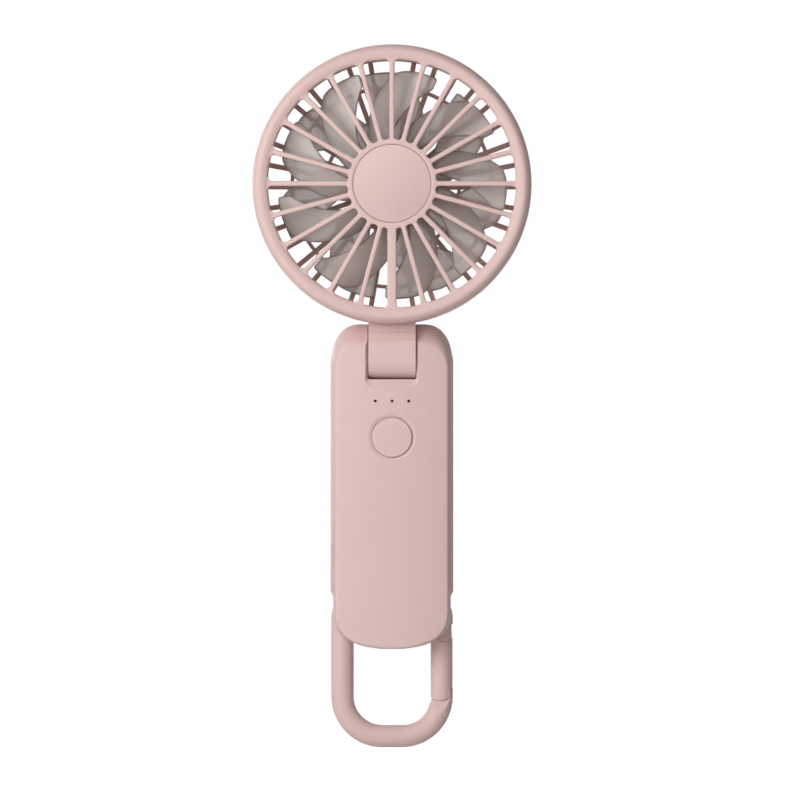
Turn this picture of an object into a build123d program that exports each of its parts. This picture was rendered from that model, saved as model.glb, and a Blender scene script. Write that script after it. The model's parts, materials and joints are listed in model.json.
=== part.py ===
from build123d import *
import math
import os

# Folding handheld fan with two counter-turning rotors and a snap-hook loop.
# Millimetres. +Z runs up from the grip to the head, the fan blows towards -Y.
# The origin is the centre of the grip.

# ---------------------------------------------------------------- driving dimensions
HEAD_Z = 94.75           # height of the rotor axis
HEAD_R = 41.85           # outside radius of the head
SHELL_FRONT = -11.0      # front face of the handle
SHELL_BACK = 11.0        # back face of the handle
PARTING_Y = -3.0         # where the front and rear handle shells meet
WALL = 1.6               # thickness of the handle shells
HALF_WIDTH = 18.45       # half the handle's widest width
HANDLE_TOP = 52.8        # top of the handle beside the neck
WAIST_Z = -27.6          # where the wide body ends and the tongue begins
TONGUE_END = -45.0       # lowest point of the front shell's tongue

TILT_Y, TILT_Z = -5.9, 41.7      # axis of the folding neck, along X
NECK_HALF = 7.1                  # half the width of the neck
SLOT_HALF = 7.35                 # half the width of the slot that it folds in
SLOT_FLOOR = 36.2                # bottom of that slot

LOOP_Y, LOOP_Z = 0.8, -29.0      # axis of the loop's hinge bar, along X
ROD_R = 3.4                      # radius of the loop's rod
ARM_X = 14.95                    # centre line of the loop's two arms
LOOP_BOTTOM = -71.4              # centre line of the loop's lowest run
GATE_X, GATE_Z = 15.8, -40.1     # axis of the gate's pin, along Y
EAR_R = 2.7                      # round ends of the fork's two ears
EAR_HALF = 2.9                   # half the depth over the two ears
GATE_TIP = -60.45                # lower end of the gate
TIP_X, TIP_R = 14.3, 5.0         # round of that end
LIP_X = 17.3                     # inner side of the nose's lip
LIP_TOP = -56.9                  # top of that lip

FRONT_HUB_R = 13.2       # hub of the front grille
CAP_R = 11.6             # plain caps on both hubs
SPOKES = 24              # spokes of the front grille
SPOKE_W = 1.45
REAR_SPOKES = 36         # spokes of the rear grille
BLADE_TIP_R = 34.5
ROTOR_HUB_R = 12.4
FRONT_ROTOR_Y = -9.2     # middle of the front rotor
REAR_ROTOR_Y = 6.8       # middle of the rear rotor
FRONT_PLATE = -14.45     # face that the front motor is screwed to
REAR_PLATE = 15.75       # face that the rear motor is screwed to
FRONT_BLADES = 9
REAR_BLADES = 7

BUTTON_Z = 18.8
BUTTON_R = 6.0
LED_Z = 29.7
LED_PITCH = 5.0
PORT_Y, PORT_Z = -5.9, -20.5     # centre of the charging socket, on the left side
FLAP_X, FLAP_Z = -17.9, -27.5    # axis that the socket's rubber cover bends about

os.makedirs("parts", exist_ok=True)


# ---------------------------------------------------------------- small helpers
def save(shape, name):
    """Write one sub-part, in place, under its node name."""
    export_step(Compound(children=list(shape.solids())) if len(shape.solids()) > 1
                else shape.solids()[0], f"parts/{name}.step")


def block(x0, x1, y0, y1, z0, z1):
    """A box between two corners."""
    centre = Pos((x0 + x1) / 2, (y0 + y1) / 2, (z0 + z1) / 2)
    return centre * Box(x1 - x0, y1 - y0, z1 - z0)


def rod_y(radius, y0, y1, x=0.0, z=0.0):
    """A round bar along Y."""
    return Pos(x, (y0 + y1) / 2, z) * Rot(90, 0, 0) * Cylinder(radius, y1 - y0)


def rod_x(radius, x0, x1, y=0.0, z=0.0):
    """A round bar along X."""
    return Pos((x0 + x1) / 2, y, z) * Rot(0, 90, 0) * Cylinder(radius, x1 - x0)


def front_plane(y, z=0.0):
    """A plane that faces the front, with its own x along X and its own y along Z."""
    return Plane(origin=(0, y, z), x_dir=(1, 0, 0), z_dir=(0, -1, 0))


def plate(sketch, y0, y1, z=0.0):
    """Extrude a front-view sketch from depth y1 forward to y0."""
    return extrude(front_plane(y1, z) * sketch, amount=y1 - y0)


def turned(curve):
    """Turn a closed (radius, depth) outline about the rotor axis."""
    return Pos(0, 0, HEAD_Z) * revolve(make_face(curve), Axis.Y, 360)


def turned_ring(inner, outer, y0, y1):
    """A plain turned ring, or a disc when inner is zero."""
    return turned(Polyline((inner, y0), (outer, y0), (outer, y1), (inner, y1), close=True))


def round_corner(cx, cz, ax, az, down=False, power=2.4, steps=6):
    """A quarter of a superellipse, from its flat end to its side, as one smooth curve."""
    sign = -1.0 if down else 1.0
    points = []
    for i in range(steps + 1):
        t = math.pi / 2 * (1 - i / steps)
        points.append((cx + ax * math.cos(t) ** (2 / power),
                       cz + sign * az * math.sin(t) ** (2 / power)))
    return Spline(*points, tangents=((1, 0), (0, -sign)))


# ---------------------------------------------------------------- head: front grille
def spoke_foot(width, tip, flare, y0, y1):
    """Hollow corners of radius flare on both sides of a spoke's end at radius tip, each in
    three facets, between the depths y0 and y1."""
    half = width / 2 - 0.02
    outward = 1 if tip > FRONT_HUB_R else -1
    left = []
    for i in range(4):
        t = math.pi / 6 * i
        left.append((-half - flare * (1 - math.cos(t)),
                     tip - outward * flare * (1 - math.sin(t))))
    right = [(-x, r) for x, r in reversed(left)]
    return plate(make_face(Polyline(*left, *right, close=True)), y0, y1)


def spoke(width):
    """One domed spoke with broken front edges and flared ends, as it lies at the top."""
    side = (Line((12.6, -17.95), (FRONT_HUB_R, -17.95))
            + ThreePointArc((FRONT_HUB_R, -17.95), (27.0, -17.2), (38.3, -15.7))
            + Polyline((38.3, -15.7), (38.3, -13.4), (12.6, -14.7), (12.6, -17.95)))
    face = Plane(origin=(0, 0, 0), x_dir=(0, 0, 1), z_dir=(-1, 0, 0)) * make_face(side)
    bar = extrude(face, amount=width / 2, both=True)
    front = bar.edges().filter_by(lambda e: e.length > 20).sort_by(
        lambda e: e.center().Y)[:2]
    bar = chamfer(front, 0.3)
    bar += spoke_foot(width, 37.35, 1.6, -14.25, -13.45)
    bar += spoke_foot(width, 38.2, 1.9, -15.4, -14.25)
    return bar + spoke_foot(width, 13.0, 0.8, -17.5, -14.9)


def front_grille():
    """Ring, domed spokes and hub of the front half of the head, as one moulding."""
    body = turned(
        Line((HEAD_R, 0), (HEAD_R, -12.8))
        + ThreePointArc((HEAD_R, -12.8), (41.4, -16.0), (40.2, -17.6))
        + Polyline((40.2, -17.6), (38.9, -17.3), (37.1, -14.2), (37.3, -13.2), (39.9, -11.4),
                   (39.9, 1.2), (40.8, 1.2), (40.8, 0), (HEAD_R, 0)))
    body += turned(Polyline((CAP_R + 0.1, -18.0), (FRONT_HUB_R, -18.0), (FRONT_HUB_R, -14.5),
                            (3.0, -14.5), (3.0, -15.7), (CAP_R + 0.1, -15.7), close=True))
    body += [Pos(0, 0, HEAD_Z) * Rot(0, 360 / SPOKES * i, 0)
             * spoke(2.7 if i == SPOKES // 2 else SPOKE_W) for i in range(SPOKES)]
    body -= block(-0.8, 0.8, -14.6, -11.0, HEAD_Z - 39.5, HEAD_Z - 12.5)   # wire groove
    return body - neck_socket()


def neck_socket():
    """The window at the bottom of the head that the neck's tenon passes through."""
    return block(-5.1, 5.1, -4.1, 4.1, HEAD_Z - HEAD_R - 1, HEAD_Z - 38.0)


def front_cap():
    """Plain disc that snaps into the front hub over the motor screws."""
    disc = turned_ring(0, CAP_R, -18.0, -16.9)
    skirt = turned_ring(10.2, 11.4, -16.9, -15.75)
    return disc + skirt


# ---------------------------------------------------------------- head: rear grille
def rear_grille():
    """Side wall and domed, slotted back of the head."""
    shell = turned(
        Line((HEAD_R, 0.2), (HEAD_R, 8.5))
        + ThreePointArc((HEAD_R, 8.5), (40.75, 12.8), (37.8, 15.3))
        + ThreePointArc((37.8, 15.3), (26.5, 18.2), (14.0, 19.2))
        + Polyline((14.0, 19.2), (CAP_R + 0.1, 19.2), (CAP_R + 0.1, 17.0), (3.0, 17.0), (3.0, 15.8),
                   (13.0, 15.8), (14.0, 17.4))
        + ThreePointArc((14.0, 17.4), (26.0, 16.4), (36.8, 13.7))
        + Polyline((36.8, 13.7), (39.9, 10.5), (39.9, 1.4), (40.85, 1.4), (40.85, 0.2),
                   (HEAD_R, 0.2)))
    openings = Circle(38.2) - Circle(14.0)
    openings -= Circle(30.4 + 0.55) - Circle(30.4 - 0.55)
    openings -= Circle(20.4 + 0.55) - Circle(20.4 - 0.55)
    openings -= Sketch() + [Rot(0, 0, 360 / REAR_SPOKES * i) * Pos(0, 26) * Rectangle(1.5, 26)
                            for i in range(REAR_SPOKES)]
    return shell - plate(openings, 11.0, 21.0, HEAD_Z) - neck_socket()


def rear_cap():
    """Plain disc that closes the hub at the back."""
    return turned_ring(0, CAP_R, 18.1, 19.2) + turned_ring(10.2, 11.4, 17.05, 18.1)


# ---------------------------------------------------------------- head: motors
def motor_base(y_plate, out):
    """Bearing tube on a round flange. out is the direction that the tube points in."""
    flange = turned_ring(1.05, 9.6, *sorted((y_plate, y_plate + 0.9 * out)))
    tube = turned_ring(1.05, 2.7, *sorted((y_plate, y_plate + 7.6 * out)))
    return flange + tube


def motor_board(y_plate, out):
    """Round driver board between the flange and the windings."""
    return turned_ring(2.9, 9.4, *sorted((y_plate + 0.95 * out, y_plate + 1.65 * out)))


def stator(y_plate, out):
    """Nine wound poles on a laminated core, pressed on the bearing tube."""
    y0, y1 = sorted((y_plate + 2.6 * out, y_plate + 6.6 * out))
    core = Circle(4.2)
    for i in range(9):
        turn = Rot(0, 0, 40 * i)
        core += turn * Pos(0, 5.6) * Rectangle(1.3, 4.0)
        core += turn * (Pos(0, 7.75) * Rectangle(4.0, 1.1))
        core += turn * (Pos(0, 5.7) * Rectangle(2.5, 2.2))
    core -= Circle(2.7)
    return plate(core & Circle(8.3), y0, y1, HEAD_Z)


def motor_screws(y_plate, out):
    """Three small screws that hold the flange to the hub."""
    screws = Part()
    for i in range(3):
        a = math.radians(120 * i + 60)
        x, z = 7.6 * math.sin(a), HEAD_Z + 7.6 * math.cos(a)
        head = rod_y(1.3, *sorted((y_plate - 1.28 * out, y_plate - 1.9 * out)), x, z)
        shank = rod_y(0.6, *sorted((y_plate - 1.28 * out, y_plate + 0.8 * out)), x, z)
        screws += head + shank
    return screws


def screw_holes(y_plate, out):
    """Clearance for those screws."""
    holes = Part()
    for i in range(3):
        a = math.radians(120 * i + 60)
        holes += rod_y(0.62, *sorted((y_plate - 1.4 * out, y_plate + 0.95 * out)),
                       7.6 * math.sin(a), HEAD_Z + 7.6 * math.cos(a))
    return holes


# ---------------------------------------------------------------- head: rotors
def blade(mirror, root, tip):
    """One swept blade: a cambered skin given its thickness, its trailing edge root degrees
    behind the hub's reference line and squared off at tip degrees."""
    rows = []
    for i in range(7):
        radius = 11.7 + (BLADE_TIP_R - 11.7) * i / 6
        span = (radius - 13.4) / (BLADE_TIP_R - 13.4)
        lead = -31 + 33 * span + 3.0 * span ** 12      # degrees: swept, hooked at the tip
        trail = min(root + 31 * span, tip)
        depth = 8.6 - 3.2 * span                       # axial reach, less towards the tip
        row = []
        for j in range(6):
            s = j / 5
            a = math.radians(lead + (trail - lead) * s) * mirror
            y = depth * (s - 0.5) + 1.0 * 4 * s * (1 - s) - 0.5
            row.append(Vector(radius * math.sin(a), y, radius * math.cos(a)))
        rows.append(row)
    skin = Face.make_surface_from_array_of_points(rows, tol=0.02)
    return Solid.thicken(skin, 0.8)


def rotor(y_mid, one, blades, phase, closed):
    """Hub cup with a ring of blades. closed is the side (+1 back, -1 front) of its floor."""
    floor = sorted((y_mid + 5.0 * closed, y_mid + 3.9 * closed))
    hub = turned_ring(11.2, ROTOR_HUB_R, y_mid - 5.0, y_mid + 5.0)
    hub += turned_ring(1.0, ROTOR_HUB_R, *floor)
    for i in range(blades):
        place = Pos(0, y_mid, HEAD_Z) * Rot(0, phase + 360 / blades * i, 0)
        hub += place * one
    return hub


def magnet_ring(y_mid, closed):
    """Magnet sleeve inside the hub cup."""
    y0, y1 = sorted((y_mid - 4.2 * closed, y_mid + 3.7 * closed))
    return turned_ring(9.9, 11.1, y0, y1)


def rotor_shaft(y_mid, closed, y_end):
    """Steel shaft pressed into the hub's floor."""
    y0, y1 = sorted((y_mid + 5.0 * closed, y_end))
    return turned_ring(0, 1.0, y0, y1)


# ---------------------------------------------------------------- neck and hinge
def neck():
    """Hinge barrel, flat front, sloping shoulder and the tenon inside the head."""
    top = HEAD_Z - HEAD_R + 1.2
    side = (Line((TILT_Y - 5.1, TILT_Z), (TILT_Y - 5.1, 47.1))
            + Line((TILT_Y - 5.1, 47.1), (-9.6, 50.3))
            + Line((-9.6, 50.3), (-8.6, top))
            + Line((-8.6, top), (4.4, top))
            + ThreePointArc((4.4, top), (0.4, 49.6), (TILT_Y + 5.1, 45.4))
            + Line((TILT_Y + 5.1, 45.4), (TILT_Y + 5.1, TILT_Z))
            + ThreePointArc((TILT_Y + 5.1, TILT_Z), (TILT_Y, TILT_Z - 5.1),
                            (TILT_Y - 5.1, TILT_Z)))
    body = extrude(Plane.YZ * make_face(side), amount=NECK_HALF, both=True)
    body -= Pos(0, 0, HEAD_Z) * Rot(90, 0, 0) * Cylinder(HEAD_R, 60)       # saddle
    tenon = block(-5.0, 5.0, -4.0, 4.0, HANDLE_TOP + 0.05, HEAD_Z - 38.6)
    flange = block(-6.6, 6.6, -5.4, 5.4, HEAD_Z - 39.2, HEAD_Z - 38.0)
    body += tenon + flange
    body -= rod_x(1.55, -8, 8, TILT_Y, TILT_Z)
    body -= block(-1.5, 1.5, -1.6, 1.6, TILT_Z + 3.4, HEAD_Z - 37)         # wire passage
    return body


def hinge_pin():
    """Hollow pin through the neck and both cheeks of the slot."""
    pin = rod_x(1.5, -10.4, 10.4, TILT_Y, TILT_Z)
    return pin - rod_x(0.8, -11, 11, TILT_Y, TILT_Z)


def hinge_washers():
    """Spring washers that give the neck its friction, one outside each cheek."""
    pair = Part()
    for side in (-1, 1):
        x0, x1 = sorted((side * 8.9, side * 9.6))
        pair += rod_x(3.3, x0, x1, TILT_Y, TILT_Z) - rod_x(1.5, x0, x1, TILT_Y, TILT_Z)
    return pair


def hinge_rings():
    """Pressed rings that hold the pin's ends."""
    pair = Part()
    for side in (-1, 1):
        x0, x1 = sorted((side * 9.65, side * 10.4))
        pair += rod_x(2.6, x0, x1, TILT_Y, TILT_Z) - rod_x(1.5, x0, x1, TILT_Y, TILT_Z)
    return pair


# ---------------------------------------------------------------- handle outline
def handle_outline(half, top, side_drop, corner_w, waist, end, inset=0.0):
    """Front view of the handle: rounded shoulders, straight sides, waist, round tongue."""
    half, top, end = half - inset, top - inset, end + inset
    low = half - waist
    corner_w = corner_w - inset
    drop = side_drop - inset
    tongue = 11.0 - inset
    right = (Line((0, top), (half - corner_w, top))
             + round_corner(half - corner_w, top - drop, corner_w, drop)
             + Line((half, top - drop), (half, WAIST_Z))
             + Line((half, WAIST_Z), (low, WAIST_Z - 1.5))
             + Line((low, WAIST_Z - 1.5), (low, end + tongue))
             + tongue_corner(low, end, tongue))
    return make_face(right + mirror(right, Plane.YZ))


def tongue_corner(low, end, tongue):
    """Half of the tongue's round end, from its side to its lowest point."""
    power, steps, points = 2.4, 8, []
    for i in range(steps + 1):
        t = math.pi / 2 * i / steps
        points.append((low * math.cos(t) ** (2 / power),
                       end + tongue - tongue * math.sin(t) ** (2 / power)))
    return Spline(*points, tangents=((0, -1), (-1, 0)))


def front_body(inset=0.0):
    """Solid form of the front shell: flat face with a rounded rim, shoulders, drafted sides."""
    face = (17.0, 46.8, 8.8, 6.9, 0.02, -44.7)
    rim = (HALF_WIDTH, HANDLE_TOP, 14.1, 9.05, 0.75, TONGUE_END)
    if inset:
        sections = [(SHELL_FRONT + inset, face, inset), (PARTING_Y, rim, inset)]
    else:
        knee = [f + 0.1 * (r - f) for f, r in zip(face, rim)]
        sections = [(SHELL_FRONT, face, 0.75), (SHELL_FRONT + 0.22, face, 0.25),
                    (SHELL_FRONT + 0.8, knee, 0.0), (PARTING_Y, rim, 0.0)]
    return loft([front_plane(y) * handle_outline(*sizes, inset) for y, sizes, inset in sections],
                ruled=True)


def rear_outline(inset=0.0):
    """Front view of the rear shell, which stops above the loop's hinge."""
    half, top = HALF_WIDTH - inset, HANDLE_TOP - inset
    low, r = -25.2 + inset, 5.0 - inset
    right = (Line((0, top), (half - 9.05 + inset, top))
             + round_corner(half - 9.05 + inset, top - 14.1 + inset, 9.05 - inset, 14.1 - inset)
             + Line((half, top - 14.1 + inset), (half, low + r))
             + RadiusArc((half, low + r), (half - r, low), r)
             + Line((half - r, low), (0, low)))
    return make_face(right + mirror(right, Plane.YZ))


def slot_cut():
    """The open slot that the neck folds in, with the bevel round its mouth."""
    opening = RectangleRounded(2 * SLOT_HALF, 2 * (46.8 - SLOT_FLOOR), 0.8)
    slot = plate(Pos(0, 46.8) * opening, -12, -0.4)
    mouth = front_plane(SHELL_FRONT - 0.01) * (Pos(0, 46.8) * RectangleRounded(
        2 * SLOT_HALF + 1.4, 2 * (46.8 - SLOT_FLOOR + 2.4), 2.4))
    throat = front_plane(SHELL_FRONT + 1.3) * (Pos(0, 46.8) * RectangleRounded(
        2 * SLOT_HALF - 0.1, 2 * (46.8 - SLOT_FLOOR), 1.2))
    return slot + loft([throat, mouth])


SCREWS = [(-13.2, 40.0), (13.2, 40.0), (-5.5, -20.9), (5.5, -20.9)]


def front_shell():
    """Front panel with its slot, button dish, indicator holes and port pocket."""
    shell = front_body() - front_body(WALL)
    cheeks = Part()
    for side in (-1, 1):
        x0, x1 = sorted((side * SLOT_HALF, side * 8.85))
        cheeks += block(x0, x1, -12, PARTING_Y, SLOT_FLOOR - 1.4, 60)
    cheeks += block(-8.85, 8.85, -12, PARTING_Y, SLOT_FLOOR - 1.4, SLOT_FLOOR)
    shell += cheeks & front_body()
    for x, z in SCREWS:
        shell += rod_y(2.2, -9.6, PARTING_Y, x, z)
    shell -= slot_cut()
    shell -= rod_x(1.52, -11, 11, TILT_Y, TILT_Z)
    shell -= rod_y(BUTTON_R + 0.15, -12, -9, 0, BUTTON_Z)
    dish = Pos(0, SHELL_FRONT + 0.3, BUTTON_Z) * Rot(90, 0, 0) * Cone(6.1, 7.35, 0.62)
    shell -= dish
    for i in (-1, 0, 1):
        shell -= rod_y(0.45, -12, -8, LED_PITCH * i, LED_Z)
    for x, z in SCREWS:
        shell -= rod_y(0.8, -8.6, PARTING_Y + 0.1, x, z)
    shell -= port_pocket()
    return shell


def port_pocket():
    """Recess for the rubber cover and the mouth of the charging socket."""
    zone = block(-25, -10, PORT_Y - 2.7, PORT_Y + 2.7, PORT_Z - 7.1, PORT_Z + 7.1)
    recess = zone & (front_body(-0.3) - front_body(1.1))
    nick = rod_y(0.9, PORT_Y - 3.2, PORT_Y, -18.6, PORT_Z + 7.1)
    mouth = block(-25, -14, PORT_Y - 1.65, PORT_Y + 1.65, PORT_Z - 4.55, PORT_Z + 4.55)
    return recess + mouth + nick


def port_cover():
    """Rubber flap over the charging socket, with a plug behind it and a notch at its bend."""
    zone = block(-25, -10, PORT_Y - 2.6, PORT_Y + 2.6, FLAP_Z, PORT_Z + 7.0)
    flap = zone & (front_body() - front_body(1.0))
    plug = block(-17.6, -16.2, PORT_Y - 1.0, PORT_Y + 1.0, PORT_Z - 3.8, PORT_Z + 3.8)
    notch = Polyline((FLAP_X + 0.4, FLAP_Z - 0.1), (FLAP_X, FLAP_Z + 0.62),
                     (FLAP_X - 1.5, FLAP_Z + 1.45), (FLAP_X - 1.5, FLAP_Z - 0.1), close=True)
    return flap + plug - plate(make_face(notch), PORT_Y - 3, PORT_Y + 3)


# ---------------------------------------------------------------- rear shell
def rear_shell():
    """Rear cover, the tongue's back plate and the fixed half of the loop's knuckle."""
    outer = plate(rear_outline(), PARTING_Y, SHELL_BACK)
    rim = outer.faces().sort_by(Axis.Y)[-1].edges()
    outer = fillet(rim, 4.5)
    inner = plate(rear_outline(WALL), PARTING_Y, SHELL_BACK - WALL)
    back = inner.faces().sort_by(Axis.Y)[-1].edges()
    shell = outer - fillet(back, 2.0)
    tongue = extrude(front_plane(PARTING_Y) * handle_outline(
        HALF_WIDTH, HANDLE_TOP, 14.1, 9.05, 0.75, TONGUE_END, WALL + 0.35), amount=1.3)
    shell += tongue & block(-20, 20, -5, 0, -46, -24.5)
    shell += block(-16, 16, -4.3, 0.0, -25.2, -23.7)
    shell += slot_back(1.5) & plate(rear_outline(0.05), PARTING_Y, SHELL_BACK - 1)
    shell += knuckle() & block(-20, 20, -5, LOOP_Y, -40, -20)
    for x, z in SCREWS:
        shell += rod_y(2.9, PARTING_Y + 0.05, SHELL_BACK - 1.0, x, z)
    shell -= slot_back(0.0)
    for x, z in SCREWS:
        shell -= rod_y(2.3, 5.0, SHELL_BACK + 1, x, z)
        shell -= rod_y(1.1, -4, 6, x, z)
    shell -= clamp_holes()
    return shell


def slot_back(wall):
    """Back of the neck's slot, which leans back at the top as the neck does."""
    side = Polyline((PARTING_Y - 1 if wall == 0 else PARTING_Y, SLOT_FLOOR - wall),
                    (-0.4 + wall, SLOT_FLOOR - wall), (-0.4 + wall, 45.2), (0.9 + wall, 49.3),
                    (5.6 + wall, 55.0), (PARTING_Y - 1 if wall == 0 else PARTING_Y, 55.0),
                    close=True)
    return extrude(Plane.YZ * make_face(side), amount=SLOT_HALF + wall, both=True)


def knuckle():
    """Round knuckle about the loop's hinge bar, with its foot under the rear shell."""
    body = rod_x(4.0, -6.6, 6.6, LOOP_Y, LOOP_Z)
    body += block(-6.6, 6.6, LOOP_Y - 4.0, LOOP_Y + 4.0, LOOP_Z, -25.2)
    return body - rod_x(2.25, -7, 7, LOOP_Y, LOOP_Z)


def loop_clamp():
    """Rear half of the knuckle, which traps the hinge bar."""
    half = knuckle() & block(-20, 20, LOOP_Y + 0.02, 20, -40, -25.25)
    return half - clamp_holes()


def clamp_holes():
    """Two screw holes through both halves of the knuckle, above the bar."""
    pair = Part()
    for x in (-4.4, 4.4):
        pair += rod_y(0.6, LOOP_Y - 2.6, LOOP_Y + 5, x, -26.0)
    return pair


# ---------------------------------------------------------------- inside the handle
def power_button():
    """Round push button, its collar and the stem that reaches the switch."""
    cap = rod_y(BUTTON_R, SHELL_FRONT, -9.3, 0, BUTTON_Z)
    rim = cap.faces().sort_by(Axis.Y)[0].edges()
    cap = fillet(rim, 0.35)
    collar = rod_y(6.9, -9.35, -8.7, 0, BUTTON_Z)
    stem = rod_y(1.5, -8.8, -8.4, 0, BUTTON_Z)
    return cap + collar + stem


def button_switch():
    """Push switch on the board behind the button."""
    return block(-3, 3, -7.4, -4.32, BUTTON_Z - 3, BUTTON_Z + 3) \
        + rod_y(1.7, -7.9, -7.3, 0, BUTTON_Z)


def circuit_board():
    """Main board, with its corners rounded."""
    outline = Pos(0, 4.9) * RectangleRounded(29, 56, 2)
    for x, z in SCREWS:
        outline -= Pos(x, z) * Circle(2.6)
    return plate(outline, -4.3, -3.4)


def indicator_leds():
    """Three charge lights on the board."""
    lamps = Part()
    for i in (-1, 0, 1):
        x = LED_PITCH * i
        lamps += block(x - 0.8, x + 0.8, -5.0, -4.32, LED_Z - 0.5, LED_Z + 0.5)
    return lamps


def light_pipes():
    """Smoky pins that carry the charge lights to the panel."""
    pipes = Part()
    for i in (-1, 0, 1):
        x = LED_PITCH * i
        pipes += rod_y(0.44, SHELL_FRONT, -5.1, x, LED_Z) + rod_y(1.0, -9.35, -8.7, x, LED_Z)
    return pipes


def usb_socket():
    """Shell of the charging socket and the tongue inside it."""
    outline = Pos(PORT_Y, PORT_Z) * RectangleRounded(3.1, 8.9, 1.5)
    cavity = Pos(PORT_Y, PORT_Z) * RectangleRounded(2.5, 8.3, 1.2)
    side = Plane.YZ.offset(-16.0)
    shell = extrude(side * outline, amount=7.0) - extrude(side * cavity, amount=6.2)
    return shell + block(-15.4, -9.4, PORT_Y - 0.35, PORT_Y + 0.35, PORT_Z - 3.3, PORT_Z + 3.3)


def battery_cell():
    """Flat pouch cell behind the board."""
    return plate(Pos(0, 6.7) * RectangleRounded(30, 48, 2.5), -2.6, 7.4)


def battery_leads():
    """Two leads from the cell's top edge to the board."""
    pair = Part()
    for x in (-3.0, 3.0):
        path = FilletPolyline((x, 2.0, 30.75), (x, 2.0, 33.9), (x, -2.75, 33.9),
                              (x, -2.75, 31.2), radius=1.2)
        start = Plane(origin=path @ 0, z_dir=path % 0)
        pair += sweep(start * Circle(0.55), path=path)
    return pair


def shell_screws():
    """Four screws that close the handle, sunk in the rear shell."""
    screws = Part()
    for x, z in SCREWS:
        head = rod_y(2.0, 5.05, 6.6, x, z)
        cross = block(x - 1.2, x + 1.2, 6.1, 7, z - 0.25, z + 0.25) \
            + block(x - 0.25, x + 0.25, 6.1, 7, z - 1.2, z + 1.2)
        screws += head - cross + rod_y(0.8, -7.6, 5.1, x, z)
    return screws


def clamp_screws():
    """Two screws that hold the knuckle's rear half."""
    pair = Part()
    for x in (-4.4, 4.4):
        pair += rod_y(0.6, LOOP_Y - 2.4, LOOP_Y + 4.0, x, -26.0)
    return pair


# ---------------------------------------------------------------- snap-hook loop
def rod_path(points, radii):
    """Centre line of the rod, straight runs joined by tangent arcs."""
    return FilletPolyline(*[(x, LOOP_Y, z) for x, z in points], radius=radii)


def swept_by_gate(radius, half, x1):
    """What the gate's end sweeps at that radius about its pin, from the inside up to x1."""
    disc = rod_y(radius, LOOP_Y - half, LOOP_Y + half, GATE_X, GATE_Z)
    return disc & block(8, x1, LOOP_Y - half, LOOP_Y + half, -65, -50)


def fork():
    """Two flat ears round the gate's pin, as wide as the rod."""
    ears = make_face(
        Line((ARM_X - ROD_R, -37.0), (ARM_X + ROD_R, -37.0))
        + Line((ARM_X + ROD_R, -37.0), (GATE_X + EAR_R, GATE_Z))
        + ThreePointArc((GATE_X + EAR_R, GATE_Z), (GATE_X, GATE_Z - EAR_R),
                        (GATE_X - EAR_R, GATE_Z))
        + Line((GATE_X - EAR_R, GATE_Z), (ARM_X - ROD_R, -37.0)))
    body = plate(ears, LOOP_Y - EAR_HALF, LOOP_Y + EAR_HALF) \
        & (Pos(ARM_X, LOOP_Y, -40) * Cylinder(ROD_R, 8))
    body -= block(5, 25, LOOP_Y - 1.6, LOOP_Y + 1.6, -50, -37.6)
    body -= rod_y(0.95, LOOP_Y - 4, LOOP_Y + 4, GATE_X, GATE_Z)
    for side in (-1, 1):
        bore = sorted((LOOP_Y + side * (EAR_HALF - 0.45), LOOP_Y + side * 4))
        body -= rod_y(1.3, *bore, GATE_X, GATE_Z)
    return body


def nose_cut():
    """What the nose lacks: the seat under the gate's end, the lip's slope and a front flat."""
    depth = LOOP_Y - 4
    seat = rod_y(TIP_R + 0.12, depth, -depth + 2, TIP_X, GATE_TIP + TIP_R) \
        & block(TIP_X, LIP_X, -4, 6, -62, -50)
    above = block(TIP_X, LIP_X, -4, 6, -59.0, -50)
    slope = plate(make_face(Polyline((LIP_X - 0.1, LIP_TOP - 0.7), (19.0, LIP_TOP + 0.45),
                                     (19.0, -50), (LIP_X - 0.1, -50), close=True)), -4, 6)
    reach = GATE_Z - GATE_TIP
    inner = swept_by_gate(reach + 0.2, 4.5, TIP_X) + swept_by_gate(reach + 1.3, 1.4, 16.9)
    front = LOOP_Y - ROD_R
    flat = make_face(Polyline((front - 1, -64.2), (front, -64.2), (front + 1.0, -60.4),
                              (front + 1.0, -59.0), (front - 1, -59.0), close=True))
    return seat + above + slope + inner + extrude(Plane.YZ.offset(10) * flat, amount=LIP_X - 10)


def loop_frame():
    """Bent rod: journal at the top, fork for the gate, nose with a lip at its end."""
    path = rod_path([(ARM_X, -37.0), (ARM_X, LOOP_Z), (-ARM_X, LOOP_Z), (-ARM_X, LOOP_BOTTOM),
                     (ARM_X, LOOP_BOTTOM), (ARM_X, LIP_TOP)], [7.0, 7.0, 12.0, 12.0])
    start = Plane(origin=path @ 0, z_dir=path % 0)
    body = sweep(start * Circle(ROD_R), path=path)
    body -= rod_x(ROD_R + 0.2, -6.85, 6.85, LOOP_Y, LOOP_Z) - rod_x(2.2, -7, 7, LOOP_Y, LOOP_Z)
    body += fork()
    return body - (nose_cut() & block(9, 19.5, -4, 6, -66, -50))


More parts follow.
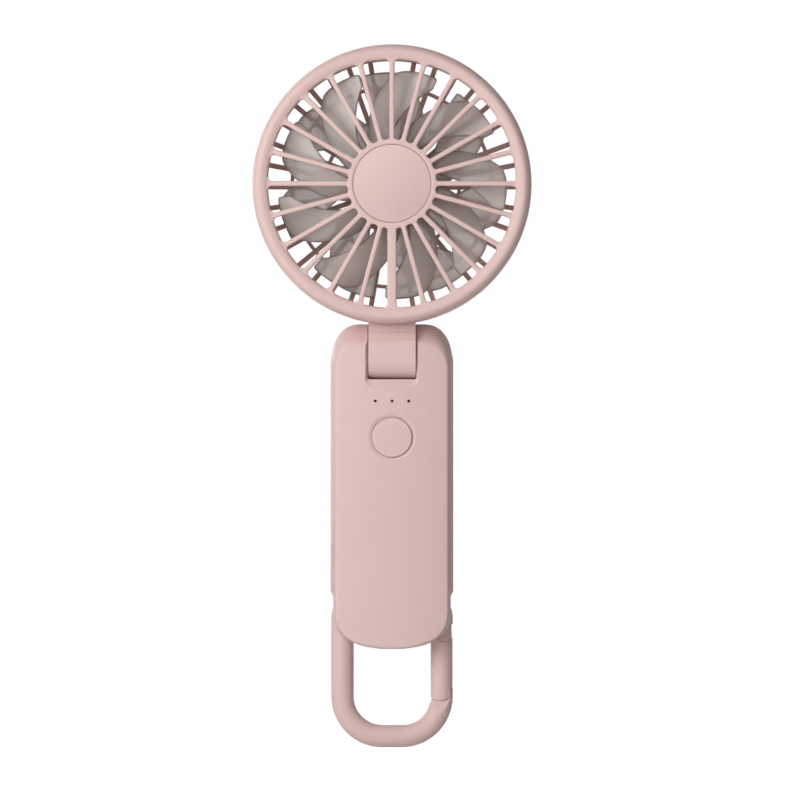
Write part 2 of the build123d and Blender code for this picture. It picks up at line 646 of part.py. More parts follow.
def gate():
    """Sprung gate: round bar whose end has a key, with hollow shoulders round the ears."""
    top = -41.6
    bar = Pos(ARM_X, LOOP_Y, (GATE_TIP + top) / 2) * Cylinder(ROD_R - 0.1, top - GATE_TIP)
    bar &= rod_y(TIP_R, -5, 6, TIP_X, GATE_TIP + TIP_R) + block(5, 25, -5, 8, -59.0, -40)
    rabbet = Polyline((LIP_X - 0.1, -62.0), (LIP_X - 0.1, LIP_TOP - 0.6), (19.0, LIP_TOP + 0.55),
                      (19.0, -62.0), close=True)
    bar -= plate(make_face(rabbet), -4, 6)
    bar -= rod_y(EAR_R + 0.15, -5, 6, GATE_X, GATE_Z)
    tenon = make_face(
        Line((GATE_X + 2.2, GATE_Z), (18.0, -43.4)) + Line((18.0, -43.4), (12.6, -43.4))
        + Line((12.6, -43.4), (GATE_X - 2.2, GATE_Z))
        + ThreePointArc((GATE_X - 2.2, GATE_Z), (GATE_X, GATE_Z + 2.2),
                        (GATE_X + 2.2, GATE_Z)))
    key = swept_by_gate(GATE_Z - GATE_TIP + 1.1, 1.2, 16.6) \
        & block(11.9, 16.6, -2, 3, -62, -59.2)
    body = bar + plate(tenon, LOOP_Y - 1.45, LOOP_Y + 1.45) + key
    return body - rod_y(1.0, LOOP_Y - 4, LOOP_Y + 4, GATE_X, GATE_Z)


def gate_pin():
    """Riveted pin of the gate, with a round head sunk in each ear."""
    pin = rod_y(0.95, LOOP_Y - 2.6, LOOP_Y + 2.6, GATE_X, GATE_Z)
    for side in (-1, 1):
        head = sorted((LOOP_Y + side * (EAR_HALF - 0.43), LOOP_Y + side * (EAR_HALF - 0.1)))
        pin += rod_y(1.2, *head, GATE_X, GATE_Z)
    return pin


# ---------------------------------------------------------------- write every sub-part
save(front_grille() - screw_holes(FRONT_PLATE, 1), "front_grille")
save(front_cap(), "front_cap")
save(rear_grille() - screw_holes(REAR_PLATE, -1), "rear_grille")
save(rear_cap(), "rear_cap")
for name, face, out in (("front", FRONT_PLATE, 1), ("rear", REAR_PLATE, -1)):
    save(motor_base(face, out) - screw_holes(face, out), f"{name}_motor_base")
    save(motor_board(face, out), f"{name}_motor_board")
    save(stator(face, out), f"{name}_stator")
    save(motor_screws(face, out), f"{name}_motor_screws")
save(rotor(FRONT_ROTOR_Y, blade(1, -2.0, 23.5), FRONT_BLADES, 0, 1), "front_rotor")
save(magnet_ring(FRONT_ROTOR_Y, 1), "front_magnet_ring")
save(rotor_shaft(FRONT_ROTOR_Y, 1, -15.2), "front_rotor_shaft")
save(rotor(REAR_ROTOR_Y, blade(-1, 5.5, 25.0), REAR_BLADES, 8.5, -1), "rear_rotor")
save(magnet_ring(REAR_ROTOR_Y, -1), "rear_magnet_ring")
save(rotor_shaft(REAR_ROTOR_Y, -1, 16.5), "rear_rotor_shaft")
save(neck(), "neck")
save(hinge_pin(), "hinge_pin")
save(hinge_washers(), "hinge_washers")
save(hinge_rings(), "hinge_rings")
save(front_shell(), "front_shell")
save(port_cover(), "port_cover")
save(rear_shell(), "rear_shell")
save(loop_clamp(), "loop_clamp")
save(power_button(), "power_button")
save(button_switch(), "button_switch")
save(circuit_board(), "circuit_board")
save(indicator_leds(), "indicator_leds")
save(light_pipes(), "light_pipes")
save(usb_socket(), "usb_socket")
save(battery_cell(), "battery_cell")
save(battery_leads(), "battery_leads")
save(shell_screws(), "shell_screws")
save(clamp_screws(), "clamp_screws")
save(loop_frame(), "loop_frame")
save(gate(), "loop_gate")
save(gate_pin(), "gate_pin")
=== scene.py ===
import json
import math

import bmesh
import bpy
import numpy as np
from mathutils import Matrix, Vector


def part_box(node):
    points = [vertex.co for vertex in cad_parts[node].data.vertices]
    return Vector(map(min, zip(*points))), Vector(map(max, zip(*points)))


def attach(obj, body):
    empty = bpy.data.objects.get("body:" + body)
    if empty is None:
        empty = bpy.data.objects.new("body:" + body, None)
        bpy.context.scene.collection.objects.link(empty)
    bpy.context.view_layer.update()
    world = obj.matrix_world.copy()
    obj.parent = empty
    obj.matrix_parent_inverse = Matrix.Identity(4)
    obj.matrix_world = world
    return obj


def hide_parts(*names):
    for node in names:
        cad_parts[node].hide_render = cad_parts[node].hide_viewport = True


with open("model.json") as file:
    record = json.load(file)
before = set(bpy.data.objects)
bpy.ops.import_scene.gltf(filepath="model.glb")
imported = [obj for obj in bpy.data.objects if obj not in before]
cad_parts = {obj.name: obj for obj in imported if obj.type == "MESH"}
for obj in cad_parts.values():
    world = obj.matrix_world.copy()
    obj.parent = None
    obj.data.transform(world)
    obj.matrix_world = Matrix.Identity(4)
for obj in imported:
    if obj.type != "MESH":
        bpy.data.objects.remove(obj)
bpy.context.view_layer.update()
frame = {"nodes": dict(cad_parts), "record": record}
MM = 0.001


# ---- Handle shells -----------------------------------------------------------------
# Two injection-moulded shells in dusty pink ABS with a fine satin grain. The front one has
# a softly crowned face with the neck's slot and the button's dish in it; the rear one is
# held to it by screws, and the clamp of the loop closes behind it.
PINK = (0.722, 0.528, 0.502)
PINK_DEEP = (0.700, 0.504, 0.478)
MERGE_DISTANCE = 0.002 * MM  # triangle corners closer than this become one point
FLAT_ANGLE = 0.6             # degrees; facets that turn by less become one face
CUT_TOLERANCE = 0.0005 * MM
CROWN_DROP = 1.6 * MM        # how far the face falls away towards its long edges
CROWN_HALF = 17.0 * MM       # distance from the middle at which it has fallen so far
CROWN_DEPTH = 3.2 * MM       # depth behind the face over which the crown dies out
CROWN_CUTS = np.linspace(-16.5, 16.5, 23) * MM


def link(tree, source, target):
    """Join one node's output socket to another's input socket."""
    tree.links.new(source, target)


def moulded_plastic(name, colour, shade, roughness=0.52, grain=5200.0, depth=0.006 * MM):
    """Satin moulded plastic: a slow drift between two close tones, a fine spark-eroded
    grain as bump, and a roughness that wanders a little with the drift."""
    material = bpy.data.materials.new(name)
    material.use_nodes = True
    tree = material.node_tree
    shader = tree.nodes["Principled BSDF"]
    place = tree.nodes.new("ShaderNodeTexCoord")
    drift = tree.nodes.new("ShaderNodeTexNoise")
    drift.inputs["Scale"].default_value = 38.0
    drift.inputs["Detail"].default_value = 3.0
    link(tree, place.outputs["Object"], drift.inputs["Vector"])
    tones = tree.nodes.new("ShaderNodeMix")
    tones.data_type = "RGBA"
    tones.inputs[6].default_value = (*colour, 1.0)
    tones.inputs[7].default_value = (*shade, 1.0)
    link(tree, drift.outputs["Fac"], tones.inputs[0])
    fine = tree.nodes.new("ShaderNodeTexNoise")
    fine.inputs["Scale"].default_value = grain
    fine.inputs["Detail"].default_value = 2.0
    link(tree, place.outputs["Object"], fine.inputs["Vector"])
    wear = tree.nodes.new("ShaderNodeMapRange")
    wear.inputs["To Min"].default_value = roughness - 0.05
    wear.inputs["To Max"].default_value = roughness + 0.06
    link(tree, drift.outputs["Fac"], wear.inputs["Value"])
    bump = tree.nodes.new("ShaderNodeBump")
    bump.inputs["Strength"].default_value = 0.5
    bump.inputs["Distance"].default_value = depth
    link(tree, fine.outputs["Fac"], bump.inputs["Height"])
    link(tree, tones.outputs[2], shader.inputs["Base Color"])
    link(tree, wear.outputs["Result"], shader.inputs["Roughness"])
    link(tree, bump.outputs["Normal"], shader.inputs["Normal"])
    shader.inputs["Specular IOR Level"].default_value = 0.22
    return material


def refined(node, body, material, limit=19.0, rounding=0.0, cuts=(), shift=None):
    """A cleaner copy of a CAD node: doubles merged, flat facets joined, sharp where it
    turns by more than the limit, and its broad faces kept flat by weighted normals. With
    a rounding, its edges get a small bevel of that width instead. cuts are planes, each a
    place and a normal, that divide its faces; shift gives every point its new depth."""
    mesh = frame["nodes"][node].data.copy()
    mesh.name = f"{node}_finish"
    form = bmesh.new()
    form.from_mesh(mesh)
    bmesh.ops.remove_doubles(form, verts=form.verts, dist=MERGE_DISTANCE)
    bmesh.ops.dissolve_limit(form, angle_limit=math.radians(FLAT_ANGLE), verts=form.verts,
                             edges=form.edges)
    for place, normal in cuts:
        bmesh.ops.bisect_plane(form, geom=form.verts[:] + form.edges[:] + form.faces[:],
                               plane_co=place, plane_no=normal, dist=CUT_TOLERANCE)
    form.to_mesh(mesh)
    form.free()
    if shift:
        points = np.empty(3 * len(mesh.vertices), dtype=np.float32)
        mesh.vertices.foreach_get("co", points)
        points = points.reshape(-1, 3).astype(float)
        points[:, 1] = shift(points)
        mesh.vertices.foreach_set("co", points.astype(np.float32).ravel())
        mesh.update()
    piece = bpy.data.objects.new(f"{node}_finish", mesh)
    bpy.context.scene.collection.objects.link(piece)
    mesh.materials.clear()
    mesh.materials.append(material)
    mesh.shade_smooth()
    if rounding:
        edge = piece.modifiers.new("edge_rounding", "BEVEL")
        edge.width = rounding
        edge.segments = 2
        edge.limit_method = "ANGLE"
        edge.angle_limit = math.radians(limit)
        edge.harden_normals = True
    else:
        mesh.set_sharp_from_angle(angle=math.radians(limit))
        flat = piece.modifiers.new("flat_faces", "WEIGHTED_NORMAL")
        flat.keep_sharp = True
        flat.weight = 70
    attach(piece, body)
    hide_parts(node)


face_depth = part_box("front_shell")[0][1]


def crowned(points):
    """Depths of a face with a soft crown across its width: each point goes back by a drop
    that grows with the square of its distance from the middle, times a smooth step that
    falls from one at the face to nothing where the crown has died out."""
    fade = np.clip((face_depth + CROWN_DEPTH - points[:, 1]) / CROWN_DEPTH, 0, 1)
    fade = fade * fade * (3 - 2 * fade)
    across = np.clip(np.abs(points[:, 0]) / CROWN_HALF, 0, 1)
    return points[:, 1] + CROWN_DROP * across ** 2 * fade


shell_plastic = moulded_plastic("satin_pink_shell", PINK, PINK_DEEP)
refined("front_shell", "handle", shell_plastic,
        cuts=[((x, 0, 0), (1, 0, 0)) for x in CROWN_CUTS], shift=crowned)
refined("rear_shell", "handle", shell_plastic)
refined("loop_clamp", "handle", shell_plastic)


# ---- Neck --------------------------------------------------------------------------
# Moulded in the shells' plastic: a barrel round the hinge pin, a flat front and a tenon
# that the two halves of the head clamp. Two small steps run across its front.
NECK_STEP = 0.30             # how far back each step goes; all in millimetres
NECK_STEP_FEET = (47.8, 49.9)
NECK_STEP_CLIMB = 0.9        # height that a step takes
NECK_FRONT = -8.0            # only what lies in front of this depth is stepped
NECK_CUTS = np.linspace(47.2, 51.0, 24) * MM


def stepped(points):
    """Depths of a face with two small rounded steps across it, one above the other: each
    puts what is above it a little further back along a smooth step, so its edge catches
    the light."""
    y, z = points[:, 1] / MM, points[:, 2] / MM
    at_front = y < NECK_FRONT
    for foot in NECK_STEP_FEET:
        climb = np.clip((z - foot) / NECK_STEP_CLIMB, 0, 1)
        y = y + NECK_STEP * climb * climb * (3 - 2 * climb) * at_front
    return y * MM


refined("neck", "head", shell_plastic, limit=24.0,
        cuts=[((0, 0, z), (0, 0, 1)) for z in NECK_CUTS], shift=stepped)


# ---- Head: front grille ------------------------------------------------------------
# One moulding in the same pink: a ring with a soft rounded lip, twenty-four slightly domed
# spokes that flare where they meet it, and the hub; the spoke above the neck is the widest.
RING_LIP = [(41.85, 0.0), (41.85, -13.1), (41.80, -14.06), (41.72, -14.66), (41.60, -15.22),
            (41.45, -15.71), (41.25, -16.18), (41.00, -16.61), (40.70, -16.98),
            (40.40, -17.24), (40.10, -17.43), (39.80, -17.55), (39.50, -17.6),
            (39.20, -17.575), (38.90, -17.53), (38.60, -17.46), (38.30, -17.375),
            (38.00, -17.265), (37.70, -17.12), (37.45, -16.94), (37.27, -16.68),
            (37.15, -16.35), (37.10, -15.9), (37.10, -14.2), (37.18, -13.7), (37.5, -13.1),
            (39.9, -11.4), (39.9, 1.2), (40.8, 1.2), (40.8, 0.0)]
HUB_RIM = [(11.72, -15.7), (11.72, -17.78), (11.78, -17.93), (11.92, -18.0), (12.92, -18.0),
           (13.08, -17.95), (13.17, -17.84), (13.2, -17.68), (13.2, -14.5), (3.0, -14.5),
           (3.0, -15.7)]
RING_INNER_R, HUB_R_FRONT = 37.1, 13.2
SPOKE_COUNT, SPOKE_HALF, NECK_SPOKE_HALF = 24, 0.725, 1.36
SPOKE_EDGE, EDGE_STEPS = 0.48, 6           # rounding along the front of a spoke
SPOKE_FOOT, SPOKE_ROOT = 1.15, 0.75        # flares at the ring and at the hub
SPOKE_FRONT, SPOKE_BACK = -17.93, -14.7    # depths of a spoke at the hub
SPOKE_ARCH, BACK_SLOPE = 1.05, 1.2         # how far they fall back out to the ring
SPOKE_OUTER_R = 38.0
LIP_START_R, LIP_WIDTH, LIP_LIFT = 36.7, 1.9, 0.33
BACK_INSET = 0.15            # a spoke's back is narrower by this on each side
AXIS_Z = (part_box("front_cap")[0][2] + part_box("front_cap")[1][2]) / 2 / MM


def grid_faces(rows, columns, wrap=False):
    """Quads between neighbouring points of a rows x columns grid, closed round if wrap."""
    index = np.arange(rows * columns).reshape(rows, columns)
    near = index if wrap else index[:, :-1]
    far = np.roll(index, -1, axis=1) if wrap else index[:, 1:]
    quads = np.stack([near[:-1], far[:-1], far[1:], near[1:]], axis=-1)
    return quads.reshape(-1, 4)


def turned(outline, steps):
    """A solid of revolution: a closed chain of (radius, depth) points carried round the
    rotor's axis in equal steps."""
    turn = np.linspace(0, 2 * math.pi, steps, endpoint=False)
    chain = np.array(outline + outline[:1])
    radius, depth = chain.T[:, :, None]
    points = np.stack([radius * np.cos(turn), depth + 0 * turn, radius * np.sin(turn)], -1)
    return points.reshape(-1, 3), grid_faces(len(chain), steps, wrap=True)


def spoke_bar(half_width):
    """One spoke, pointing up. Its half width is constant, and grows as a quarter circle at
    both ends. Its front lies on a flat arch and lifts into the ring's lip at the outer end.
    The section is a closed chain: rounded front corners, straight sides, a flat back."""
    radius = np.concatenate([np.linspace(12.4, 14.2, 10), np.linspace(15.5, 34.5, 12),
                             np.linspace(35.4, 38.7, 18)])
    outer = np.clip(radius - (RING_INNER_R - SPOKE_FOOT), 0, SPOKE_FOOT)
    inner = np.clip(HUB_R_FRONT + SPOKE_ROOT - radius, 0, SPOKE_ROOT)
    half = (half_width + SPOKE_FOOT - np.sqrt(SPOKE_FOOT ** 2 - outer ** 2)
            + SPOKE_ROOT - np.sqrt(SPOKE_ROOT ** 2 - inner ** 2))
    along = (radius - HUB_R_FRONT) / (SPOKE_OUTER_R - HUB_R_FRONT)
    lift = np.clip((radius - LIP_START_R) / LIP_WIDTH, 0, 1)
    front = SPOKE_FRONT + SPOKE_ARCH * along ** 2 - LIP_LIFT * lift * lift * (3 - 2 * lift)
    back = SPOKE_BACK + BACK_SLOPE * along
    bend = np.linspace(0, math.pi / 2, EDGE_STEPS)
    inset = np.append((SPOKE_EDGE * (1 - np.cos(bend)))[::-1], [0.0, BACK_INSET])
    drop = np.append((SPOKE_EDGE * (1 - np.sin(bend)))[::-1], [0.0, 0.0])
    is_back = np.arange(len(inset)) >= EDGE_STEPS
    depth = np.where(is_back, back[:, None] - drop, front[:, None] + drop)
    side = half[:, None] - inset
    x = np.concatenate([side, -side[:, ::-1]], axis=1)
    y = np.concatenate([depth, depth[:, ::-1]], axis=1)
    points = np.stack([x, y, np.broadcast_to(radius[:, None], x.shape)], axis=-1)
    ring = x.shape[1]
    ends = np.array([[0, i, i + 1, i + 2] for i in range(1, ring - 2, 2)])
    last = (len(radius) - 1) * ring
    faces = np.concatenate([grid_faces(len(radius), ring, wrap=True), ends,
                            ends[:, ::-1] + last])
    return points.reshape(-1, 3), faces


def turned_about_axis(points, degrees):
    """Points turned about the rotor's axis, one copy for each angle."""
    turn = np.radians(degrees)[:, None]
    x = points[:, 0] * np.cos(turn) + points[:, 2] * np.sin(turn)
    z = points[:, 2] * np.cos(turn) - points[:, 0] * np.sin(turn)
    return np.stack([x, np.broadcast_to(points[:, 1], x.shape), z], axis=-1)


def head_piece(name, parts, middle, material, limit, marks=None):
    """Put (points, faces) parts, in millimetres about the rotor's axis, into one merged
    mesh at the head, facing outwards. marks are values of the point attribute rim."""
    offsets = np.cumsum([0] + [len(points) for points, faces in parts])
    everything = np.concatenate([points for points, faces in parts]) + (0, middle, AXIS_Z)
    mesh = bpy.data.meshes.new(name)
    mesh.from_pydata(everything * MM, [], np.concatenate(
        [faces + offset for (points, faces), offset in zip(parts, offsets)]).tolist())
    if marks is not None:
        rim = mesh.attributes.new("rim", "FLOAT", "POINT")
        rim.data.foreach_set("value", marks)
    form = bmesh.new()
    form.from_mesh(mesh)
    bmesh.ops.remove_doubles(form, verts=form.verts, dist=0.001 * MM)
    bmesh.ops.recalc_face_normals(form, faces=form.faces)
    form.to_mesh(mesh)
    form.free()
    mesh.shade_smooth()
    mesh.set_sharp_from_angle(angle=math.radians(limit))
    mesh.materials.append(material)
    piece = bpy.data.objects.new(name, mesh)
    bpy.context.scene.collection.objects.link(piece)
    return piece


# The shells' pink made a little lighter: painted light for the head standing brighter in the
# light than the handle. The caps share it.
grille_pink_painted_light = moulded_plastic("satin_pink_grille_painted_light", (0.742, 0.540, 0.508),
                                 (0.722, 0.518, 0.486), roughness=0.50)
thin_points, bar_faces = spoke_bar(SPOKE_HALF)
wide_points, _ = spoke_bar(NECK_SPOKE_HALF)
angles = 360 / SPOKE_COUNT * np.arange(SPOKE_COUNT)
bars = turned_about_axis(thin_points, angles)
at_neck = SPOKE_COUNT // 2
bars[at_neck] = turned_about_axis(wide_points, angles[[at_neck]])[0]
front_grille = head_piece(
    "front_grille_moulding",
    [turned(RING_LIP, 192), turned(HUB_RIM, 144)] + [(bar, bar_faces) for bar in bars],
    0.0, grille_pink_painted_light, 32.0)
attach(front_grille, "head")
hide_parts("front_grille")


# ---- Head: rear grille and caps ----------------------------------------------------
# The rear moulding holds the side wall and the slotted, domed back. A plain round cap snaps
# into each hub, its rim eased so that a fine groove shows round it.
# The rear grille is the shells' pink, made warmer and redder here: painted light for the
# warm light bounced about in its shade.
rear_pink_painted_bounce = moulded_plastic("satin_pink_rear_painted_bounce", (0.750, 0.520, 0.484),
                               (0.730, 0.500, 0.464), roughness=0.50)
refined("rear_grille", "head", rear_pink_painted_bounce)
for cap in ("front_cap", "rear_cap"):
    refined(cap, "head", grille_pink_painted_light, limit=40.0, rounding=0.16 * MM)


# ---- Power button ------------------------------------------------------------------
# A flat round cap in the same pink, polished a little by fingers. A wider collar behind
# the shell keeps it in, and its rim is eased by a fine bevel.
button_plastic = moulded_plastic("fine_pink_button", PINK, PINK_DEEP, roughness=0.44)
refined("power_button", "button", button_plastic, rounding=0.1 * MM)


# ---- Loop, gate and their pin ------------------------------------------------------
# A bent rod with a soft satin coat, hung in the clamp behind the handle's end. A sprung
# gate of the same rod turns on a riveted pin in its fork and closes on its nose.
loop_plastic = moulded_plastic("satin_pink_loop", (0.706, 0.508, 0.482),
                               (0.684, 0.484, 0.458), roughness=0.48)
refined("loop_frame", "loop", loop_plastic, limit=26.0)
refined("loop_gate", "gate", loop_plastic, limit=26.0)
refined("gate_pin", "loop", loop_plastic)


# ---- Port cover --------------------------------------------------------------------
# A soft rubber flap in a slightly duller pink, set into the side of the front shell. It
# covers the charging inlet and hinges outwards.
flap_rubber = moulded_plastic("soft_pink_rubber", (0.686, 0.494, 0.470),
                              (0.656, 0.464, 0.440), roughness=0.66, grain=3800.0)
refined("port_cover", "port_flap", flap_rubber)


# ---- Rotors ------------------------------------------------------------------------
# Hub cups and swept blades moulded in one piece from smoky, half-clear plastic; the front
# rotor has nine blades, the rear one seven of the opposite hand. Each turns on its shaft.
BLADE_ROOT_R, BLADE_TIP_R = 11.7, 34.5
BLADE_HALF_THICKNESS, EDGE_ROUND = 0.40, 0.45
SPAN_START_R = 13.4          # where the blade clears the hub and its sweep starts
LEAD_START, LEAD_SWEEP, TIP_HOOK = -31, 33, 3.0      # degrees
TRAIL_SWEEP = 31             # degrees
PITCH_DEPTH, PITCH_FALL = 8.6, 3.2         # rise over the chord at the hub, less at the tip
CAMBER, BLADE_MIDDLE = 4.0, 0.5
# The darker border is painted shade for the blades' edges seen in shadow.
RIM_BAND = 0.75              # how wide the darker border of a blade is
HUB_CUP = [(1.0, 5.0), (12.0, 5.0), (12.28, 4.88), (12.4, 4.6), (12.4, -4.7), (12.3, -4.95),
           (12.1, -5.0), (11.4, -5.0), (11.25, -4.9), (11.2, -4.7), (11.2, 3.7), (11.0, 3.9),
           (1.0, 3.9)]       # floor at the positive side


def swept_blades(mirror, root, tip, blades, phase):
    """All blades of one rotor. Along the span the leading edge sweeps forward and hooks in
    at the tip, the trailing edge follows and is squared off; along the chord the section
    is an arch set at an angle. Both sides lie half a thickness off that surface, along its
    normal, and the half thickness falls to nothing round the border as a quarter circle."""
    u = (1 - np.cos(np.linspace(0, math.pi, 30))) / 2
    v = (1 - np.cos(np.linspace(0, math.pi, 36))) / 2
    u, v = np.meshgrid(u, v, indexing="ij")
    reach = BLADE_TIP_R - 0.9 * (1 - u) ** 10 - 0.6 * u ** 30
    radius = BLADE_ROOT_R + (reach - BLADE_ROOT_R) * v
    span = (radius - SPAN_START_R) / (BLADE_TIP_R - SPAN_START_R)
    lead = LEAD_START + LEAD_SWEEP * span + TIP_HOOK * np.clip(span, 0, 1) ** 12
    trail = np.minimum(root + TRAIL_SWEEP * span, tip)
    angle = np.radians(lead + (trail - lead) * u) * mirror
    rise = (PITCH_DEPTH - PITCH_FALL * span) * (0.5 - u)
    depth = rise - CAMBER * u * (1 - u) + BLADE_MIDDLE
    skin = np.stack([radius * np.sin(angle), depth, radius * np.cos(angle)], axis=-1)
    across = np.cross(np.gradient(skin, axis=0), np.gradient(skin, axis=1))
    across /= np.linalg.norm(across, axis=-1, keepdims=True)
    chord = radius * np.radians(trail - lead)
    border = np.minimum(np.minimum(u, 1 - u) * chord, (1 - v) * (reach - BLADE_ROOT_R))
    inward = np.clip(border / EDGE_ROUND, 0, 1)
    half = (BLADE_HALF_THICKNESS * np.sqrt(1 - (1 - inward) ** 2) * (v > 0))[..., None]
    both = np.stack([skin + across * half, skin - across * half]).reshape(-1, 3)
    copies = turned_about_axis(both, phase + 360 / blades * np.arange(blades))
    quads = grid_faces(*u.shape)
    faces = np.concatenate([quads, quads[:, ::-1] + u.size])
    rim = np.clip(1 - border / RIM_BAND, 0, 1).ravel()
    return [(copy, faces) for copy in copies], np.tile(rim, 2 * blades)


def rotor_piece(name, body, node, floor_side, material, blades, rim):
    """Blades and hub cup in one mesh. floor_side is the side, +1 back or -1 front, of the
    cup's floor, and rim says how near each point of a blade is to its border."""
    low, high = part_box(node)
    middle = (low[1] + high[1]) / 2 / MM
    cup_points, cup_faces = turned([(r, floor_side * depth) for r, depth in HUB_CUP], 96)
    marks = np.append(rim, np.zeros(len(cup_points)))
    piece = head_piece(name, blades + [(cup_points, cup_faces)], middle, material, 50.0,
                       marks)
    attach(piece, body)
    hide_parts(node)


def smoky_plastic(name, light, dark, cover):
    """Warm grey, half-clear plastic: what lies behind shows faintly, as much as the cover
    leaves, and the edges are nearly opaque and painted dark, painted shade for the thin
    edges seen in shadow."""
    material = bpy.data.materials.new(name)
    material.use_nodes = True
    tree = material.node_tree
    shader = tree.nodes["Principled BSDF"]
    place = tree.nodes.new("ShaderNodeTexCoord")
    cloud = tree.nodes.new("ShaderNodeTexNoise")
    cloud.inputs["Scale"].default_value = 60.0
    cloud.inputs["Detail"].default_value = 3.0
    link(tree, place.outputs["Object"], cloud.inputs["Vector"])
    tones = tree.nodes.new("ShaderNodeMix")
    tones.data_type = "RGBA"
    tones.inputs[6].default_value = (*dark, 1.0)
    tones.inputs[7].default_value = (*light, 1.0)
    link(tree, cloud.outputs["Fac"], tones.inputs[0])
    rim = tree.nodes.new("ShaderNodeAttribute")
    rim.attribute_name = "rim"
    edge = tree.nodes.new("ShaderNodeMapRange")
    edge.inputs["To Max"].default_value = 0.8
    link(tree, rim.outputs["Fac"], edge.inputs["Value"])
    # Painted shade: towards the border the colour is mixed with a near black, which stands
    # in for the blade's edge in shadow.
    shaded = tree.nodes.new("ShaderNodeMix")
    shaded.data_type = "RGBA"
    shaded.inputs[7].default_value = (0.13, 0.11, 0.105, 1.0)
    link(tree, edge.outputs["Result"], shaded.inputs[0])
    link(tree, tones.outputs[2], shaded.inputs[6])
    link(tree, shaded.outputs[2], shader.inputs["Base Color"])
    veil = tree.nodes.new("ShaderNodeMapRange")
    veil.inputs["To Min"].default_value = cover
    veil.inputs["To Max"].default_value = 0.97
    link(tree, rim.outputs["Fac"], veil.inputs["Value"])
    link(tree, veil.outputs["Result"], shader.inputs["Alpha"])
    shader.inputs["Roughness"].default_value = 0.38
    shader.inputs["Specular IOR Level"].default_value = 0.3
    shader.inputs["Subsurface Weight"].default_value = 0.5
    shader.inputs["Subsurface Scale"].default_value = 1.5 * MM
    shader.inputs["Subsurface Radius"].default_value = (1.0, 0.9, 0.85)
    return material


front_smoke = smoky_plastic("smoky_front_rotor", light=(0.71, 0.662, 0.632),
                            dark=(0.65, 0.605, 0.580), cover=0.70)
rotor_piece("front_rotor_blades", "front_rotor_set", "front_rotor", 1, front_smoke,
            *swept_blades(mirror=1, root=-2.0, tip=23.5, blades=9, phase=0.0))
# The rear rotor is the same smoky plastic as the front one, but painted much lighter:
# painted light for what shines through it from behind.
rear_smoke_painted_backlight = smoky_plastic("smoky_rear_rotor_painted_backlight", light=(0.93, 0.875, 0.845),
                           dark=(0.88, 0.825, 0.795), cover=0.66)
rotor_piece("rear_rotor_blades", "rear_rotor_set", "rear_rotor", -1, rear_smoke_painted_backlight,
            *swept_blades(mirror=-1, root=5.5, tip=25.0, blades=7, phase=8.5))


# ---- Inner pieces ------------------------------------------------------------------
# Steel, copper, magnets, boards and the cell lie closed in, and are seen only when the
# object is taken apart. The smoky light pipes and the screw heads show from outside.
def plain_finish(name, colour, roughness, metallic=0.0):
    """A simple inner finish with a slight variation of tone."""
    material = moulded_plastic(name, colour, tuple(0.9 * c for c in colour), roughness,
                               grain=2500.0, depth=0.003 * MM)
    material.node_tree.nodes["Principled BSDF"].inputs["Metallic"].default_value = metallic
    return material


inner = {
    "steel": plain_finish("turned_steel", (0.55, 0.55, 0.56), 0.32, 1.0),
    "winding_copper": plain_finish("enamelled_copper", (0.60, 0.25, 0.10), 0.35, 0.9),
    "magnet_dark": plain_finish("bonded_ferrite", (0.03, 0.03, 0.033), 0.6),
    "board_green": plain_finish("solder_mask", (0.01, 0.10, 0.035), 0.35),
    "switch_black": plain_finish("black_switch", (0.012, 0.012, 0.013), 0.45),
    "led_white": plain_finish("lamp_package", (0.75, 0.75, 0.62), 0.4),
    "foil_grey": plain_finish("pouch_foil", (0.50, 0.51, 0.53), 0.38, 0.8),
    "lead_red": plain_finish("lead_insulation", (0.40, 0.012, 0.010), 0.5),
    "screw_dark": plain_finish("blackened_screw", (0.02, 0.02, 0.022), 0.38, 0.9),
    "lens_smoke": plain_finish("smoky_lens", (0.026, 0.005, 0.007), 0.55),
}
node_slots = {s["node"]: s["material_slot"] for s in frame["record"]["subparts"]}
for node, piece in frame["nodes"].items():
    if node_slots[node] in inner:
        piece.data.materials.clear()
        piece.data.materials.append(inner[node_slots[node]])


# ---- Floor, lights and camera ------------------------------------------------------
# A pale floor well below the loop, white for the camera's rays but keeping the shadow. A
# soft key lamp stands at the front left, a wide fill in front, a cool one behind on the
# left and a weak one overhead, in a dim even room.
FLOOR_HALF, FLOOR_Z = 12.0, -0.125
FLOOR_LIGHT, FLOOR_LIGHT_SHARE = 1.31, 0.75
ROOM_LIGHT = 0.10
def white_rays(tree):
    """1 for rays that should see the white background, 0 for the rest."""
    path = tree.nodes.new("ShaderNodeLightPath")
    total = path.outputs["Is Camera Ray"]
    for name in ("Is Glossy Ray", "Is Transmission Ray"):
        add = tree.nodes.new("ShaderNodeMath")
        add.operation = "MAXIMUM"
        link(tree, total, add.inputs[0])
        link(tree, path.outputs[name], add.inputs[1])
        total = add.outputs[0]
    return total


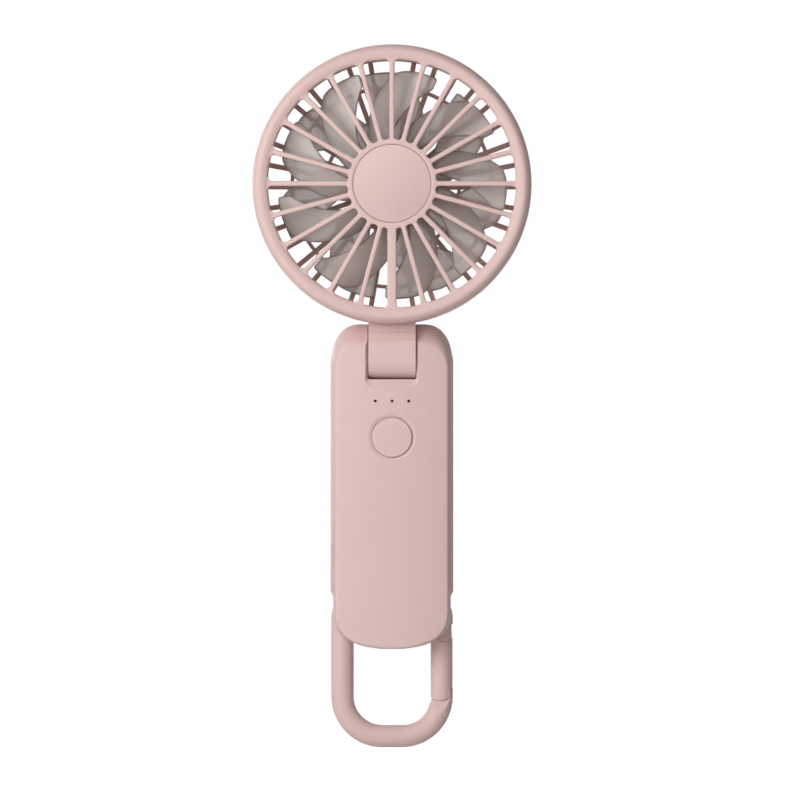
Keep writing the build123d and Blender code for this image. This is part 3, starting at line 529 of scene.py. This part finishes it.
def studio_floor():
    """A wide plane, partly white light for what sees it directly, partly matt paint."""
    mesh = bpy.data.meshes.new("floor")
    corners = [(-1, -1), (1, -1), (1, 1), (-1, 1)]
    mesh.from_pydata([(x * FLOOR_HALF, y * FLOOR_HALF, FLOOR_Z) for x, y in corners], [],
                     [(0, 1, 2, 3)])
    floor = bpy.data.objects.new("floor", mesh)
    bpy.context.scene.collection.objects.link(floor)
    material = bpy.data.materials.new("pale_floor")
    material.use_nodes = True
    tree = material.node_tree
    tree.nodes.remove(tree.nodes["Principled BSDF"])
    seen = white_rays(tree)
    share = tree.nodes.new("ShaderNodeMath")
    share.operation = "MULTIPLY"
    share.inputs[1].default_value = FLOOR_LIGHT_SHARE
    link(tree, seen, share.inputs[0])
    paint = tree.nodes.new("ShaderNodeBsdfDiffuse")
    paint.inputs["Color"].default_value = (0.86, 0.85, 0.845, 1.0)
    light = tree.nodes.new("ShaderNodeEmission")
    light.inputs["Strength"].default_value = FLOOR_LIGHT
    mix = tree.nodes.new("ShaderNodeMixShader")
    link(tree, share.outputs[0], mix.inputs[0])
    link(tree, paint.outputs[0], mix.inputs[1])
    link(tree, light.outputs[0], mix.inputs[2])
    link(tree, mix.outputs[0], tree.nodes["Material Output"].inputs["Surface"])
    mesh.materials.append(material)


def studio_world():
    """White where it is seen, and a dim even room for everything else."""
    world = bpy.data.worlds.new("studio")
    bpy.context.scene.world = world
    world.use_nodes = True
    tree = world.node_tree
    background = tree.nodes["Background"]
    seen = white_rays(tree)
    level = tree.nodes.new("ShaderNodeMapRange")
    level.inputs["To Min"].default_value = ROOM_LIGHT
    level.inputs["To Max"].default_value = 1.0
    link(tree, seen, level.inputs["Value"])
    background.inputs["Color"].default_value = (1.0, 1.0, 1.0, 1.0)
    link(tree, level.outputs["Result"], background.inputs["Strength"])


def soft_lamp(name, place, target, size, power, tint=(1.0, 1.0, 1.0)):
    """A square soft box that points at the target."""
    data = bpy.data.lights.new(name, "AREA")
    data.size, data.energy, data.color = size, power, tint
    lamp = bpy.data.objects.new(name, data)
    bpy.context.scene.collection.objects.link(lamp)
    lamp.location = place
    direction = np.subtract(target, place)
    yaw = math.atan2(direction[0], -direction[1])
    pitch = math.atan2(math.hypot(direction[0], direction[1]), -direction[2])
    lamp.rotation_euler = (pitch, 0.0, yaw + math.pi)


studio_floor()
studio_world()
soft_lamp("key", (-0.56, -0.69, 0.31), (0.0, 0.0, 0.05), 0.60, 6.1)
soft_lamp("front_fill", (0.0, -1.90, 0.20), (0.0, 0.0, 0.04), 0.90, 6.6)
soft_lamp("behind", (-0.45, 1.42, 0.45), (0.0, 0.0, 0.05), 0.70, 9.0, (0.90, 0.95, 1.0))
soft_lamp("overhead", (0.0, -0.75, 0.85), (0.0, 0.0, 0.04), 0.50, 0.6)

CAMERA_DISTANCE = 2.0
FACE_Y = 0.011               # how far in front of the axis the handle's face lies
VIEW_WIDTH = 0.240           # what the view spans at that face
SENSOR_WIDTH = 36.0
camera_data = bpy.data.cameras.new("camera")
camera_data.sensor_width = SENSOR_WIDTH
camera_data.lens = SENSOR_WIDTH * (CAMERA_DISTANCE - FACE_Y) / VIEW_WIDTH
camera_data.clip_end = 60.0
camera = bpy.data.objects.new("camera", camera_data)
bpy.context.scene.collection.objects.link(camera)
camera.location = (0.0024, -CAMERA_DISTANCE, 0.030)
camera.rotation_euler = (math.radians(90.0), 0.0, 0.0)
bpy.context.scene.camera = camera
bpy.context.scene.view_settings.view_transform = "Standard"
